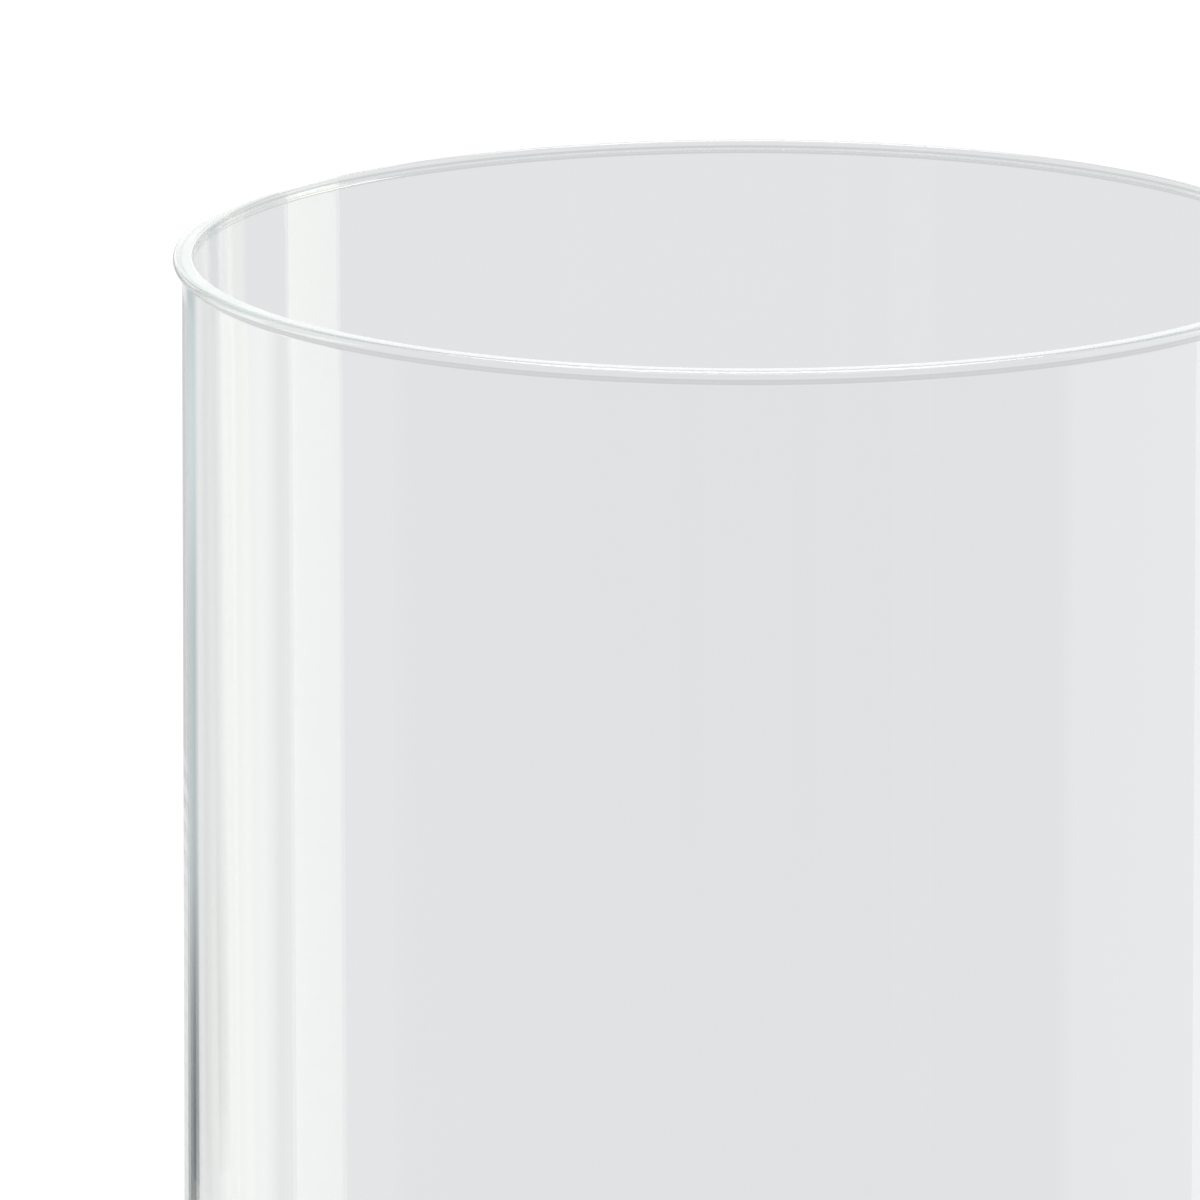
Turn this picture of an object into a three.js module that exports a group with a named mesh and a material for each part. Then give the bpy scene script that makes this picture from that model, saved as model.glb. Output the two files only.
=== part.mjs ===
// Tall tumbler: one piece of clear blown glass, straight sided, with a fire-polished bead at the rim
// and a heavy base. Millimetres, +Z up, origin at the middle of the base on the surface it stands on.
import * as THREE from "three";

// Driving dimensions
const OVERALL_HEIGHT = 150;
const WALL_OUTER_DIAMETER = 62;
const WALL_AT_RIM = 0.6; // glass thickness just under the bead
const WALL_AT_BASE = 1.1; // glass thickness where the wall runs into the base
const BEAD_PROUD = 0.5; // how far the bead stands out from the wall; it is flush on the inside
const BEAD_HEIGHT = 0.65; // of the bead's outer edge, which is a full round
const BEAD_INNER_RADIUS = 0.2; // round between the top of the bead and the inside wall
const NECK_RADIUS = 0.3; // hollow round between the wall and the underside of the bead
const BASE_THICKNESS = 9; // glass at the middle of the base
const INNER_CORNER_RADIUS = 8; // between the inside wall and the inside floor
const FLOOR_DISH = 1.2; // how far the inside floor rises from its middle to the corner
const DISH_RUN = 14; // width of the rising ring of the inside floor
const DISH_RADIUS = 60; // blend from the flat middle of the floor to its rising ring
const HEEL_RADIUS = 3.5; // outside round between the wall and the foot
const FOOT_RING_WIDTH = 4; // ring that the tumbler stands on, from the heel to the edge of the hollow
const FOOT_EDGE_RADIUS = 6; // blend from the foot ring into the hollow under the base
const PUSH_UP_DEPTH = 1.2; // depth of that hollow
const PUSH_UP_RUN = 8; // width of its sloping ring
const PUSH_UP_RADIUS = 20; // blend from the slope to the flat middle of the hollow

// Facets
const FACETS_ROUND = 72; // flats round the axis
const ARC_STEP = THREE.MathUtils.degToRad(16); // largest turn from one flat of an arc to the next
const LEAST_ARC_STEPS = 2;
const LEAST_EDGE = 0.02; // points of the section nearer to each other than this become one

// Derived sizes, as radii from the axis and heights above the table
const wallOuter = WALL_OUTER_DIAMETER / 2;
const rimInner = wallOuter - WALL_AT_RIM;
const baseInner = wallOuter - WALL_AT_BASE;
const footOuter = wallOuter - HEEL_RADIUS;
const footInner = footOuter - FOOT_RING_WIDTH;
const floorMiddle = PUSH_UP_DEPTH + BASE_THICKNESS;

// The top of the bead is flat and its outer edge is round. The neck's hollow arc turns out from the wall
// and ends where that round begins, at the same slope.
const beadRadius = BEAD_HEIGHT / 2;
const beadOuter = wallOuter + BEAD_PROUD;
const undersideSlope = Math.acos(1 - BEAD_PROUD / (beadRadius + NECK_RADIUS)); // from upright
const beadShoulder = OVERALL_HEIGHT - beadRadius - beadRadius * Math.tan(undersideSlope / 2);
const neckHeight = beadShoulder - BEAD_PROUD / Math.tan(undersideSlope);

// Corners of half the section, from the middle of the underside, round the outside, to the inside floor.
// Each is [radius from the axis, height, radius of the arc that rounds it].
const corners = [
  [0, PUSH_UP_DEPTH, 0],
  [footInner - PUSH_UP_RUN, PUSH_UP_DEPTH, PUSH_UP_RADIUS],
  [footInner, 0, FOOT_EDGE_RADIUS],
  [wallOuter, 0, HEEL_RADIUS],
  [wallOuter, neckHeight, NECK_RADIUS],
  [beadOuter, beadShoulder, beadRadius],
  [beadOuter, OVERALL_HEIGHT, beadRadius],
  [rimInner, OVERALL_HEIGHT, BEAD_INNER_RADIUS],
  [baseInner, floorMiddle + FLOOR_DISH, INNER_CORNER_RADIUS],
  [baseInner - DISH_RUN, floorMiddle, DISH_RADIUS],
  [0, floorMiddle, 0],
];

// How far the outline turns at corner i, in radians; the two ends on the axis don't turn.
function turnAt(points, i) {
  if (i === 0 || i === points.length - 1) return 0;
  const into = points[i].clone().sub(points[i - 1]);
  const outOf = points[i + 1].clone().sub(points[i]);
  return into.angleTo(outOf);
}

// Length that the arc of each corner takes from the corner's two sides. Where a side is too short for the
// arcs at both its ends, they are drawn in until they meet.
function arcReaches(points, turns) {
  const wanted = turns.map((turn, i) => corners[i][2] * Math.tan(turn / 2));
  const sideFits = points.slice(1).map((point, i) => {
    return Math.min(1, point.distanceTo(points[i]) / (wanted[i] + wanted[i + 1]));
  });
  return wanted.map((reach, i) => reach * Math.min(sideFits[i - 1] ?? 1, sideFits[i] ?? 1));
}

// Points of the arc that touches both sides of a corner at a given distance from it.
function roundedCorner(before, corner, after, turn, reach) {
  const back = before.clone().sub(corner).normalize();
  const ahead = after.clone().sub(corner).normalize();
  const middle = back.clone().add(ahead).normalize();
  const radius = reach / Math.tan(turn / 2);
  const centre = corner.clone().addScaledVector(middle, radius / Math.cos(turn / 2));
  const from = corner.clone().addScaledVector(back, reach).sub(centre).angle();
  const leftTurn = back.cross(ahead) < 0;
  const to = from + (leftTurn ? turn : -turn);
  const steps = Math.max(LEAST_ARC_STEPS, Math.ceil(turn / ARC_STEP));
  return new THREE.EllipseCurve(centre.x, centre.y, radius, radius, from, to, !leftTurn).getPoints(steps);
}

// The half section as one line of points, from the axis back to the axis.
function sectionOutline() {
  const points = corners.map(([r, z]) => new THREE.Vector2(r, z));
  const turns = points.map((_, i) => turnAt(points, i));
  const reaches = arcReaches(points, turns);
  const outline = points.flatMap((point, i) => {
    if (turns[i] === 0) return [point];
    return roundedCorner(points[i - 1], point, points[i + 1], turns[i], reaches[i]);
  });
  return outline.filter((point, i) => i === 0 || point.distanceTo(outline[i - 1]) > LEAST_EDGE);
}

// Revolves an outline in the XY plane about Y, then stands the solid up on Z.
function revolved(outline) {
  return new THREE.LatheGeometry(outline, FACETS_ROUND).rotateX(Math.PI / 2);
}

const clearGlass = new THREE.MeshStandardMaterial({
  color: 0xe0e4e5,
  roughness: 0.02,
  metalness: 0,
  transparent: true,
  opacity: 0.35,
});

const tumblerGlass = new THREE.Mesh(revolved(sectionOutline()), clearGlass);
tumblerGlass.name = "tumbler_glass";

const tallTumbler = new THREE.Group();
tallTumbler.name = "tall_tumbler";
tallTumbler.add(tumblerGlass);

export default tallTumbler;
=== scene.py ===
import bpy
import math
from mathutils import Matrix, Vector


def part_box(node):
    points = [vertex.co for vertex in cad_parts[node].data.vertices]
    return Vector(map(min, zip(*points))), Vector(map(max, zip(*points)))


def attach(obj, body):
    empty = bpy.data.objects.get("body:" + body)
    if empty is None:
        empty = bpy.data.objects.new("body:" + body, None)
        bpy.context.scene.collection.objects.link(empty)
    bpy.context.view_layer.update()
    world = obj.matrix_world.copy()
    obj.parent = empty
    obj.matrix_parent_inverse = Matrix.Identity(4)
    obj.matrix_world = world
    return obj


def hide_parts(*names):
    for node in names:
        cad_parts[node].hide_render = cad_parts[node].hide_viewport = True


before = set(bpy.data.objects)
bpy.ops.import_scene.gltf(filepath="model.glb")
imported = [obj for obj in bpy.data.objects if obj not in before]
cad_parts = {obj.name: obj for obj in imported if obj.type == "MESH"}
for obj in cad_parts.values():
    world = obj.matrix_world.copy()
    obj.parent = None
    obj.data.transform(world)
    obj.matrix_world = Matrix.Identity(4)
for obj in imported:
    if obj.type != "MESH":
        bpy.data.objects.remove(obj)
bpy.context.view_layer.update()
mm = 0.001
scene = bpy.context.scene
print("frame loaded, nodes:", sorted(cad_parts))


# helpers for objects, materials and node trees

def addObject(name, data):
    made = bpy.data.objects.new(name, data)
    scene.collection.objects.link(made)
    return made


def emptyMaterial(name):
    material = bpy.data.materials.new(name)
    material.use_nodes = True
    material.node_tree.nodes.clear()
    return material


def feed(tree, socket, value):  # links another node's output, or sets a fixed value
    if isinstance(value, bpy.types.NodeSocket):
        tree.links.new(value, socket)
    else:
        socket.default_value = value


def addNode(tree, kind, inputs=None, **settings):
    node = tree.nodes.new(kind)
    for name, value in settings.items():
        setattr(node, name, value)
    for socket, value in (inputs or {}).items():
        feed(tree, node.inputs[socket], value)
    return node


def calc(tree, operation, *values):
    node = addNode(tree, "ShaderNodeMath", operation=operation)
    for socket, value in zip(node.inputs, values):
        feed(tree, socket, value)
    return node.outputs[0]


def mapRange(tree, value, start, stop, low=0.0, high=1.0):
    return addNode(tree, "ShaderNodeMapRange", {
        "Value": value,
        "From Min": start,
        "From Max": stop,
        "To Min": low,
        "To Max": high,
    }).outputs[0]


def mixColour(tree, share, first, second, blend="MIX"):
    # this node's colour inputs are 6 and 7, and its colour output is 2
    inputs = {"Factor": share, 6: first, 7: second}
    return addNode(tree, "ShaderNodeMix", inputs, data_type="RGBA", blend_type=blend).outputs[2]


def byIndex(tree, index, values):  # one number for each corner of the section
    switch = addNode(tree, "GeometryNodeIndexSwitch", data_type="FLOAT")
    while len(switch.index_switch_items) < len(values):
        switch.index_switch_items.new()
    feed(tree, switch.inputs["Index"], index)
    for i, value in enumerate(values):
        feed(tree, switch.inputs[str(i)], value)
    return switch.outputs[0]


# the glass itself: a section with rounded corners, turned once round the axis

glassLow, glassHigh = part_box("tumbler_glass")

tumbler = {  # millimetres; the height and the width over the bead come from the frame
    "Height": glassHigh.z / mm,
    "Bead Diameter": (glassHigh.x - glassLow.x) / mm,
    "Bead Proud": 0.5,
    "Bead Height": 0.65,
    "Bead Inner Radius": 0.2,
    "Neck Radius": 0.3,
    "Wall At Rim": 0.6,
    "Wall At Base": 1.1,
    "Base Thickness": 9.0,
    "Inner Corner Radius": 8.0,
    "Floor Dish": 1.2,
    "Dish Run": 14.0,
    "Dish Radius": 60.0,
    "Heel Radius": 3.5,
    "Foot Ring Width": 4.0,
    "Foot Edge Radius": 6.0,
    "Push Up Depth": 1.2,
    "Push Up Run": 8.0,
    "Push Up Radius": 20.0,
    "Ring Spacing": 1.5,  # longest straight step of the section
    "Turning Radius": 10.0,  # of the circle that the section is swept along
    "Weld Distance": 0.01,  # points on the axis become one
}
tumblerCounts = {
    "Steps Round": 192,
    "Steps In Arc": 20,
}


def sectionCorners(tree, size):
    # each corner's radius from the axis, height and rounding, from under the base to the inside floor
    beadOuter = calc(tree, "MULTIPLY", size["Bead Diameter"], 0.5)
    wallOuter = calc(tree, "SUBTRACT", beadOuter, size["Bead Proud"])
    rimInner = calc(tree, "SUBTRACT", wallOuter, size["Wall At Rim"])
    baseInner = calc(tree, "SUBTRACT", wallOuter, size["Wall At Base"])
    dishEdge = calc(tree, "SUBTRACT", baseInner, size["Dish Run"])
    footOuter = calc(tree, "SUBTRACT", wallOuter, size["Heel Radius"])
    footInner = calc(tree, "SUBTRACT", footOuter, size["Foot Ring Width"])
    pushUpEdge = calc(tree, "SUBTRACT", footInner, size["Push Up Run"])
    floorMiddle = calc(tree, "ADD", size["Push Up Depth"], size["Base Thickness"])
    floorEdge = calc(tree, "ADD", floorMiddle, size["Floor Dish"])
    beadRadius = calc(tree, "MULTIPLY", size["Bead Height"], 0.5)
    arcs = calc(tree, "ADD", beadRadius, size["Neck Radius"])
    share = calc(tree, "DIVIDE", size["Bead Proud"], arcs)
    slope = calc(tree, "ARCCOSINE", calc(tree, "SUBTRACT", 1.0, share))  # of the bead's underside
    halfSlope = calc(tree, "MULTIPLY", slope, 0.5)
    reach = calc(tree, "MULTIPLY", beadRadius, calc(tree, "TANGENT", halfSlope))
    beadMiddle = calc(tree, "SUBTRACT", size["Height"], beadRadius)
    shoulder = calc(tree, "SUBTRACT", beadMiddle, reach)
    drop = calc(tree, "DIVIDE", size["Bead Proud"], calc(tree, "TANGENT", slope))
    neckHeight = calc(tree, "SUBTRACT", shoulder, drop)
    return [
        (0.0, size["Push Up Depth"], 0.0),
        (pushUpEdge, size["Push Up Depth"], size["Push Up Radius"]),
        (footInner, 0.0, size["Foot Edge Radius"]),
        (wallOuter, 0.0, size["Heel Radius"]),
        (wallOuter, neckHeight, size["Neck Radius"]),
        (beadOuter, shoulder, beadRadius),
        (beadOuter, size["Height"], beadRadius),
        (rimInner, size["Height"], size["Bead Inner Radius"]),
        (baseInner, floorEdge, size["Inner Corner Radius"]),
        (dishEdge, floorMiddle, size["Dish Radius"]),
        (0.0, floorMiddle, 0.0),
    ]


def tumblerTree(material):
    tree = bpy.data.node_groups.new("turned glass", "GeometryNodeTree")
    tree.interface.new_socket("Geometry", in_out="INPUT", socket_type="NodeSocketGeometry")
    tree.interface.new_socket("Geometry", in_out="OUTPUT", socket_type="NodeSocketGeometry")
    for name in tumbler:
        tree.interface.new_socket(name, in_out="INPUT", socket_type="NodeSocketFloat")
    for name in tumblerCounts:
        tree.interface.new_socket(name, in_out="INPUT", socket_type="NodeSocketInt")
    size = addNode(tree, "NodeGroupInput").outputs
    corners = sectionCorners(tree, size)
    index = addNode(tree, "GeometryNodeInputIndex").outputs[0]
    radii, heights, rounds = [byIndex(tree, index, column) for column in zip(*corners)]

    line = addNode(tree, "GeometryNodeCurvePrimitiveLine")
    chain = addNode(tree, "GeometryNodeResampleCurve", {"Curve": line.outputs[0], "Count": len(corners)})
    fromSweep = calc(tree, "SUBTRACT", radii, size["Turning Radius"])
    hanging = calc(tree, "MULTIPLY", heights, -1.0)  # a sweep lays the section's Y downwards
    place = addNode(tree, "ShaderNodeCombineXYZ", {"X": fromSweep, "Y": hanging})
    section = addNode(tree, "GeometryNodeSetPosition", {
        "Geometry": chain.outputs[0],
        "Position": place.outputs[0],
    })
    rounded = addNode(tree, "GeometryNodeFilletCurve", {
        "Curve": section.outputs[0],
        "Count": size["Steps In Arc"],
        "Radius": rounds,
        "Limit Radius": True,
    }, mode="POLY")

    # straight stretches get rings of their own, so that the round corners keep their shading
    position = addNode(tree, "GeometryNodeInputPosition").outputs[0]
    following = addNode(tree, "GeometryNodeFieldAtIndex", {
        "Value": position,
        "Index": calc(tree, "ADD", index, 1.0),
    }, data_type="FLOAT_VECTOR", domain="POINT")
    ends = {0: position, 1: following.outputs[0]}
    gap = addNode(tree, "ShaderNodeVectorMath", ends, operation="DISTANCE").outputs["Value"]
    cuts = calc(tree, "FLOOR", calc(tree, "DIVIDE", gap, size["Ring Spacing"]))
    ringed = addNode(tree, "GeometryNodeSubdivideCurve", {"Curve": rounded.outputs[0], "Cuts": cuts})

    sweep = addNode(tree, "GeometryNodeCurvePrimitiveCircle", {
        "Resolution": size["Steps Round"],
        "Radius": size["Turning Radius"],
    }, mode="RADIUS")
    turned = addNode(tree, "GeometryNodeCurveToMesh", {
        "Curve": sweep.outputs[0],
        "Profile Curve": ringed.outputs[0],
    })
    outward = addNode(tree, "GeometryNodeFlipFaces", {"Mesh": turned.outputs[0]})
    closed = addNode(tree, "GeometryNodeMergeByDistance", {
        "Geometry": outward.outputs[0],
        "Distance": size["Weld Distance"],
    })
    smooth = addNode(tree, "GeometryNodeSetShadeSmooth", {
        "Geometry": closed.outputs[0],
        "Shade Smooth": True,
    })
    real = addNode(tree, "GeometryNodeRealizeInstances", {"Geometry": smooth.outputs[0]})
    done = addNode(tree, "GeometryNodeSetMaterial", {"Geometry": real.outputs[0], "Material": material})
    addNode(tree, "NodeGroupOutput", {"Geometry": done.outputs[0]})
    return tree


def plainMesh(piece):  # keeps what the modifiers make and removes them
    graph = bpy.context.evaluated_depsgraph_get()
    made = bpy.data.meshes.new_from_object(piece.evaluated_get(graph), depsgraph=graph)
    piece.modifiers.clear()
    piece.data = made
    made.name = piece.name


def makeTumbler(material):
    piece = addObject("tall_tumbler", bpy.data.meshes.new("tall_tumbler"))
    tree = tumblerTree(material)
    modifier = piece.modifiers.new("turned glass", "NODES")
    modifier.node_group = tree
    for socket in tree.interface.items_tree:
        if socket.name in tumbler:
            modifier[socket.identifier] = tumbler[socket.name] * mm
        if socket.name in tumblerCounts:
            modifier[socket.identifier] = tumblerCounts[socket.name]
    plainMesh(piece)
    return piece


# clear blown glass

glassFinish = {
    "wall tint": (0.98, 0.99, 1.0, 1.0),
    "base tint": (0.965, 0.99, 0.985, 1.0),
    "tint heights": (4.0, 40.0),  # millimetres, from the base tint to the wall tint
    "ior": 1.52,
    "depth colour": (0.72, 0.95, 0.88, 1.0),  # what long paths through the glass turn to
    "depth density": 1.3,
    "scuff heights": (0.6, 0.15),  # millimetres above the table, from clear to the worn foot ring
    "scuff roughness": 0.28,
    "scratch scale": 900.0,
    "scratch detail": 4.0,
    "wave stretch": (260.0, 260.0, 18.0),
    "wave detail": 2.0,
    "wave depth": 0.02,  # millimetres
    "wave strength": 0.04,
    "polish heights": (146.0, 149.0),  # millimetres, where the polished rim takes the waves out
}


def glassMaterial():
    material = emptyMaterial("clear blown glass")
    tree = material.node_tree
    where = addNode(tree, "ShaderNodeTexCoord").outputs["Object"]
    height = addNode(tree, "ShaderNodeSeparateXYZ", {"Vector": where}).outputs["Z"]

    start, stop = (z * mm for z in glassFinish["tint heights"])
    rise = mapRange(tree, height, start, stop)
    tint = mixColour(tree, rise, glassFinish["base tint"], glassFinish["wall tint"])

    start, stop = (z * mm for z in glassFinish["scuff heights"])
    worn = mapRange(tree, height, start, stop, 0.0, glassFinish["scuff roughness"])
    scratch = addNode(tree, "ShaderNodeTexNoise", {
        "Vector": where,
        "Scale": glassFinish["scratch scale"],
        "Detail": glassFinish["scratch detail"],
    })
    rough = calc(tree, "MULTIPLY", worn, scratch.outputs[0])

    stretch = addNode(tree, "ShaderNodeMapping", {"Vector": where, "Scale": glassFinish["wave stretch"]})
    waves = addNode(tree, "ShaderNodeTexNoise", {
        "Vector": stretch.outputs[0],
        "Scale": 1.0,
        "Detail": glassFinish["wave detail"],
    })
    start, stop = (z * mm for z in glassFinish["polish heights"])
    fade = mapRange(tree, height, start, stop, 1.0, 0.0)
    bump = addNode(tree, "ShaderNodeBump", {
        "Height": calc(tree, "MULTIPLY", waves.outputs[0], fade),
        "Distance": glassFinish["wave depth"] * mm,
        "Strength": glassFinish["wave strength"],
    })

    shader = addNode(tree, "ShaderNodeBsdfPrincipled", {
        "Base Color": tint,
        "Roughness": rough,
        "Normal": bump.outputs[0],
        "Transmission Weight": 1.0,
        "IOR": glassFinish["ior"],
    })
    depth = addNode(tree, "ShaderNodeVolumeAbsorption", {
        "Color": glassFinish["depth colour"],
        "Density": glassFinish["depth density"],
    })
    addNode(tree, "ShaderNodeOutputMaterial", {"Surface": shader.outputs[0], "Volume": depth.outputs[0]})
    return material


glass = makeTumbler(glassMaterial())
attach(glass, "root")
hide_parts("tumbler_glass")
print("glass turned:", len(glass.data.vertices), "points,", len(glass.data.polygons), "faces")


# pale floor and white surroundings

studio = {
    "floor width": 24.0,  # metres
    "floor to the lens": 0.85,  # how pale the floor is past the glass
    "glow to the lens": 0.16,  # keeps it white far from the lights
    "floor through glass": 0.15,  # the same two in and through the glass
    "glow through glass": 0.615,
    "white": 1.0,  # surroundings as the lens and the floor see them
    "surroundings": 0.63,  # and in and through the glass
    "bounces": 192,  # light goes far round inside the thin wall
}


def lensOr(tree, toLens, toGlass):  # the first to the lens and the floor, the second to the glass
    rays = addNode(tree, "ShaderNodeLightPath").outputs
    direct = calc(tree, "MAXIMUM", rays["Is Camera Ray"], rays["Is Diffuse Ray"])
    inputs = {"Factor": direct, "A": toGlass, "B": toLens}
    return addNode(tree, "ShaderNodeMix", inputs, data_type="FLOAT").outputs["Result"]


def makeFloor():
    half = studio["floor width"] / 2
    mesh = bpy.data.meshes.new("floor")
    corners = [(-half, -half, 0.0), (half, -half, 0.0), (half, half, 0.0), (-half, half, 0.0)]
    mesh.from_pydata(corners, [], [(0, 1, 2, 3)])
    floor = addObject("floor", mesh)
    material = emptyMaterial("pale floor")
    material.cycles.emission_sampling = "NONE"
    tree = material.node_tree
    pale = lensOr(tree, studio["floor to the lens"], studio["floor through glass"])
    table = addNode(tree, "ShaderNodeBsdfDiffuse", {"Color": pale})
    strength = lensOr(tree, studio["glow to the lens"], studio["glow through glass"])
    glow = addNode(tree, "ShaderNodeEmission", {"Strength": strength})
    both = addNode(tree, "ShaderNodeAddShader", {0: table.outputs[0], 1: glow.outputs[0]})
    addNode(tree, "ShaderNodeOutputMaterial", {"Surface": both.outputs[0]})
    mesh.materials.append(material)


def makeSurroundings():
    world = bpy.data.worlds.new("white studio")
    scene.world = world
    world.use_nodes = True
    world.cycles.sampling_method = "NONE"  # so that every ray that meets it knows where it comes from
    tree = world.node_tree
    tree.nodes.clear()
    strength = lensOr(tree, studio["white"], studio["surroundings"])
    sky = addNode(tree, "ShaderNodeBackground", {"Color": (1.0, 1.0, 1.0, 1.0), "Strength": strength})
    addNode(tree, "ShaderNodeOutputWorld", {"Surface": sky.outputs[0]})


makeFloor()
makeSurroundings()
scene.cycles.max_bounces = studio["bounces"]
scene.cycles.glossy_bounces = studio["bounces"]
scene.cycles.transmission_bounces = studio["bounces"]
print("floor and surroundings made")


# soft boxes of light, one overhead and one above the lens

softboxes = {  # metres; the glow is brightness against white
    "overhead softbox": {
        "size": (2.2, 1.9),
        "place": (0.0, 0.2, 2.5),
        "target": (0.0, 0.2, 0.0),
        "glow": 5.5,
        "lights floor": False,
    },
    "front softbox": {
        "size": (1.6, 1.4),
        "place": (0.0, -1.73, 1.5),
        "target": (0.0, 0.0, 0.15),
        "glow": 2.2,
        "lights floor": True,
    },
}


def makeSoftbox(name, box):
    width, height = box["size"]
    lamp = bpy.data.lights.new(name, "AREA")
    lamp.shape = "RECTANGLE"
    lamp.size = width
    lamp.size_y = height
    lamp.energy = box["glow"] * math.pi * width * height
    made = addObject(name, lamp)
    made.location = box["place"]
    aim = Vector(box["target"]) - Vector(box["place"])
    made.rotation_euler = aim.to_track_quat("-Z", "Y").to_euler()
    made.visible_camera = False
    made.visible_diffuse = box["lights floor"]
    made.visible_transmission = False  # else a white line runs along the back of the rim


for name, box in softboxes.items():
    makeSoftbox(name, box)
print("soft boxes hung:", len(softboxes))


# cards round the glass, never in the picture itself; turns are degrees from the lens, to the right

cards = {
    "radius": 0.4,  # metres
    "inner radius": 0.392,  # flags and back card stand just inside the ring
    "height": 0.5,
    "step": 3.0,  # degrees
    "ring foot": 9.0,  # millimetres, over which the ring runs into the floor's brightness
    "ring foot glow": 0.8,
    "ring glow": {  # turn and brightness on each side; seen in the gloss alone
        "left": [
            (30, 0.5), (45, 0.6), (70, 0.7), (76, 1.1), (96, 1.1), (101, 1.1), (104.5, 1.45),
            (107.5, 1.1), (110.5, 1.85), (114, 2.2), (119, 1.85), (124, 1.4), (132, 1.45),
            (136, 0.85), (139, 0.6), (142, 0.6), (147, 0.9), (151, 0.65), (155, 0.65),
            (163, 0.8), (176, 0.95),
        ],
        "right": [
            (30, 0.5), (45, 0.55), (63, 0.65), (67, 1.45), (110, 1.45), (140, 0.8), (176, 0.6),
        ],
    },
    "ring colour": {"left": (1.01, 1.02, 0.91, 1.0), "right": (1.0, 1.0, 1.0, 1.0)},
    "plain turns": (150, 139),  # the ring is white from the first and takes its colour by the second
    "flag height": 0.11,
    "flag turns": (151, 160.5),  # both sides, behind the glass
    "flag glow": [  # millimetres up, brightness
        (0, 0.45), (2, 0.2), (4, 0.1), (14, 0.2), (20, 0.31), (24, 0.44), (28, 0.52), (36, 0.53),
        (45, 0.55), (52, 0.68), (57, 0.7), (72, 0.55),
    ],
    "flag colour": (0.9, 1.0, 1.01, 1.0),
    "strips": [(100, 118, 1.92), (137, 147, 1.1)],  # right of the glass, seen through it in the mouth
    "strip radius": 0.3,
    "strip colour": (1.0, 1.01, 0.91),
    "back turns": (140, 220),  # behind, higher than the rim, for the gloss along its crown
    "back height": 0.15,
    "back glow": 1.6,
}


def arcMesh(name, radius, low, high, fromTurn, toTurn):
    steps = max(2, round(abs(toTurn - fromTurn) / cards["step"]))
    turns = [math.radians(fromTurn + (toTurn - fromTurn) * i / steps) for i in range(steps + 1)]
    points = [(radius * math.sin(t), -radius * math.cos(t), z) for z in (low, high) for t in turns]
    row = steps + 1
    faces = [(i, i + 1, row + i + 1, row + i) for i in range(steps)]
    mesh = bpy.data.meshes.new(name)
    mesh.from_pydata(points, [], faces)
    return mesh


def glowRamp(tree, share, stops):
    ramp = addNode(tree, "ShaderNodeValToRGB", {"Fac": share})
    elements = ramp.color_ramp.elements
    while len(elements) < len(stops):
        elements.new(1.0)
    for element, (position, glow) in zip(elements, stops):
        element.position = position
        element.color = (glow, glow, glow, 1.0)
    return ramp.outputs[0]


def evenGlow(tree, glow, colour=(1.0, 1.0, 1.0)):
    return tuple(glow * part for part in colour) + (1.0,)


def glowByTurn(tree, side):
    where = addNode(tree, "ShaderNodeTexCoord").outputs["Object"]
    axes = addNode(tree, "ShaderNodeSeparateXYZ", {"Vector": where}).outputs
    turn = calc(tree, "ARCTAN2", axes["X"], calc(tree, "MULTIPLY", axes["Y"], -1.0))
    share = calc(tree, "DIVIDE", calc(tree, "ABSOLUTE", turn), math.pi)  # of the half turn
    stops = [(degrees / 180, level) for degrees, level in cards["ring glow"][side]]
    glow = glowRamp(tree, share, stops)
    start, stop = (degrees / 180 for degrees in cards["plain turns"])
    colourShare = mapRange(tree, share, start, stop)
    tinted = mixColour(tree, colourShare, glow, cards["ring colour"][side], "MULTIPLY")
    rise = mapRange(tree, axes["Z"], 0.0, cards["ring foot"] * mm)
    return mixColour(tree, rise, evenGlow(tree, cards["ring foot glow"]), tinted)


def glowByHeight(tree):
    where = addNode(tree, "ShaderNodeTexCoord").outputs["Object"]
    height = addNode(tree, "ShaderNodeSeparateXYZ", {"Vector": where}).outputs["Z"]
    share = calc(tree, "DIVIDE", height, cards["flag height"])
    stops = [(z * mm / cards["flag height"], level) for z, level in cards["flag glow"]]
    return mixColour(tree, 1.0, glowRamp(tree, share, stops), cards["flag colour"], "MULTIPLY")


def glowMaterial(name, makeGlow, *details):
    material = emptyMaterial(name)
    material.cycles.emission_sampling = "NONE"
    tree = material.node_tree
    shader = addNode(tree, "ShaderNodeEmission", {"Color": makeGlow(tree, *details)})
    addNode(tree, "ShaderNodeOutputMaterial", {"Surface": shader.outputs[0]})
    return material


def makeCard(name, mesh, material, inGloss, throughGlass):
    mesh.materials.append(material)
    card = addObject(name, mesh)
    card.visible_camera = False
    card.visible_diffuse = False
    card.visible_shadow = False
    card.visible_glossy = inGloss
    card.visible_transmission = throughGlass


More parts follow.
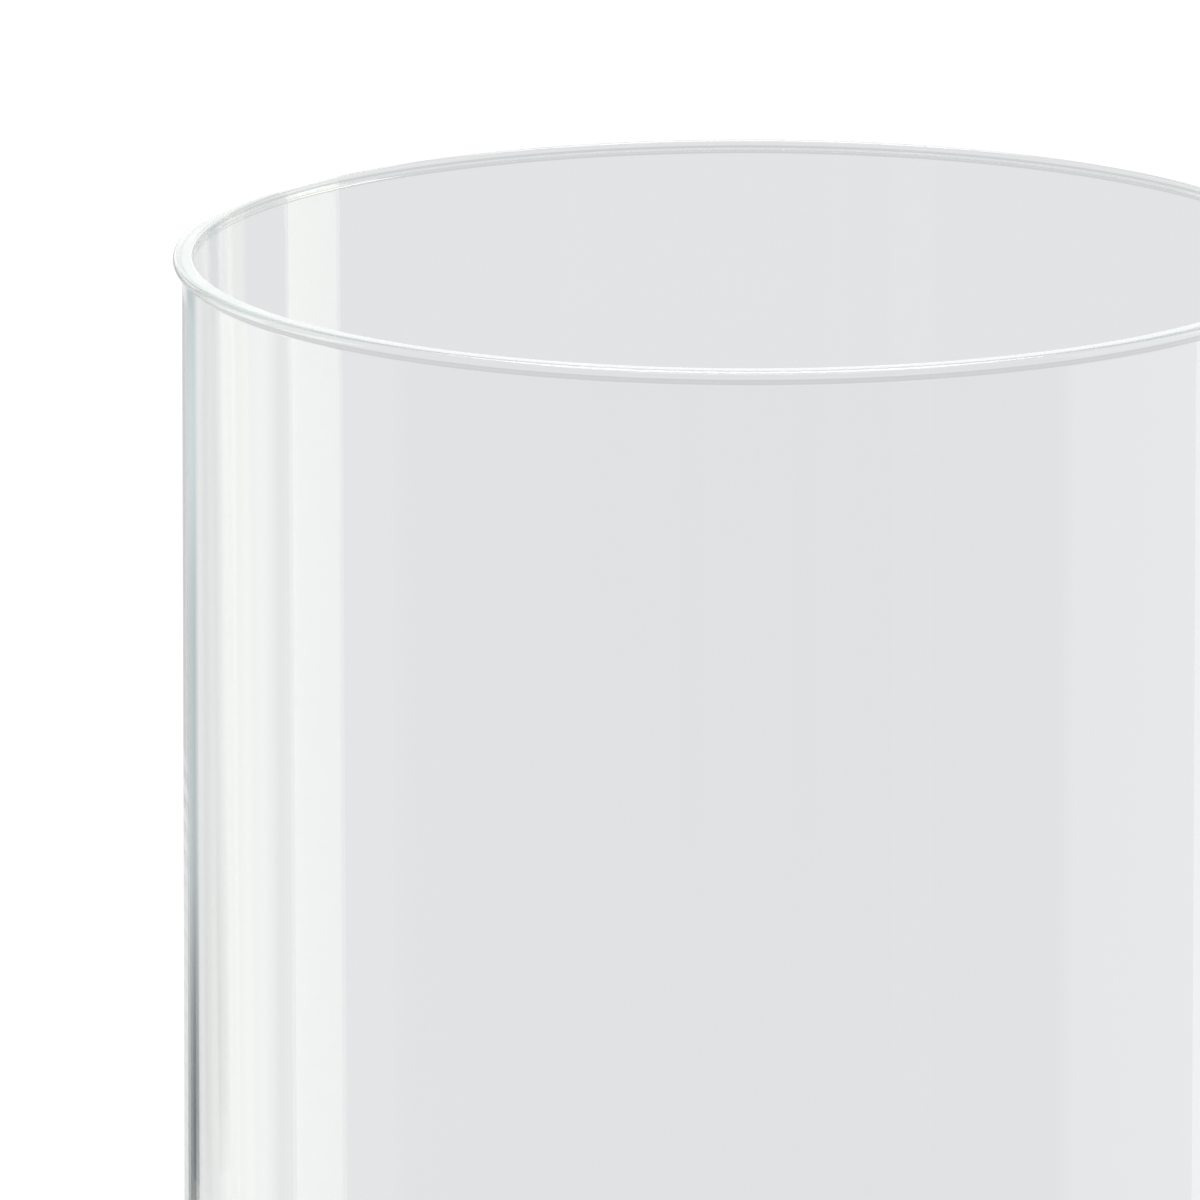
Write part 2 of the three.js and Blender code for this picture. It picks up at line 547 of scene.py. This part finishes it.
def makeCards():
    near = cards["inner radius"]
    top = cards["height"]
    flagGlow = glowMaterial("edge flag", glowByHeight)
    for side, sign in (("left", -1), ("right", 1)):
        name = "card_ring_" + side
        glow = glowMaterial("card ring " + side, glowByTurn, side)
        mesh = arcMesh(name, cards["radius"], 0.0, top, 0, sign * 180)
        makeCard(name, mesh, glow, True, False)
        name = "edge_flag_" + side
        fromTurn, toTurn = (sign * turn for turn in cards["flag turns"])
        mesh = arcMesh(name, near, 0.0, cards["flag height"], fromTurn, toTurn)
        makeCard(name, mesh, flagGlow, True, True)
    glow = glowMaterial("back card", evenGlow, cards["back glow"])
    mesh = arcMesh("back_card", near, cards["back height"], top, *cards["back turns"])
    makeCard("back_card", mesh, glow, True, False)
    for i, (fromTurn, toTurn, level) in enumerate(cards["strips"]):
        name = "strip_card_%d" % (i + 1)
        glow = glowMaterial(name, evenGlow, level, cards["strip colour"])
        mesh = arcMesh(name, cards["strip radius"], 0.0, top, fromTurn, toTurn)
        makeCard(name, mesh, glow, False, True)


makeCards()
print("cards set up")


# camera, from the rim's place in the photograph

photo = {
    "frame": 1200,  # pixels across
    "rim centre": (749.0, 252.0),  # pixels
    "pixels per mm": 18.3,
    "elevation": 12.4,  # degrees
    "lens": 1000.0,  # millimetres
    "sensor": 36.0,
    "far clip": 50.0,  # metres
}


def makeCamera():
    data = bpy.data.cameras.new("camera")
    data.lens = photo["lens"]
    data.sensor_width = photo["sensor"]
    data.clip_end = photo["far clip"]
    camera = addObject("camera", data)
    tilt = math.radians(photo["elevation"])
    right = Vector((1.0, 0.0, 0.0))
    up = Vector((0.0, math.sin(tilt), math.cos(tilt)))
    ahead = Vector((0.0, math.cos(tilt), -math.sin(tilt)))
    pixel = mm / photo["pixels per mm"]
    across = (photo["rim centre"][0] - photo["frame"] / 2) * pixel
    above = (photo["frame"] / 2 - photo["rim centre"][1]) * pixel
    away = photo["frame"] * pixel * photo["lens"] / photo["sensor"]
    rimCentre = Vector((0.0, 0.0, glassHigh.z))
    place = rimCentre - right * across - up * above - ahead * away
    turn = Matrix((right, up, -ahead)).transposed().to_4x4()
    camera.matrix_world = Matrix.Translation(place) @ turn
    scene.camera = camera


makeCamera()
scene.view_settings.view_transform = "Standard"
print("camera placed")
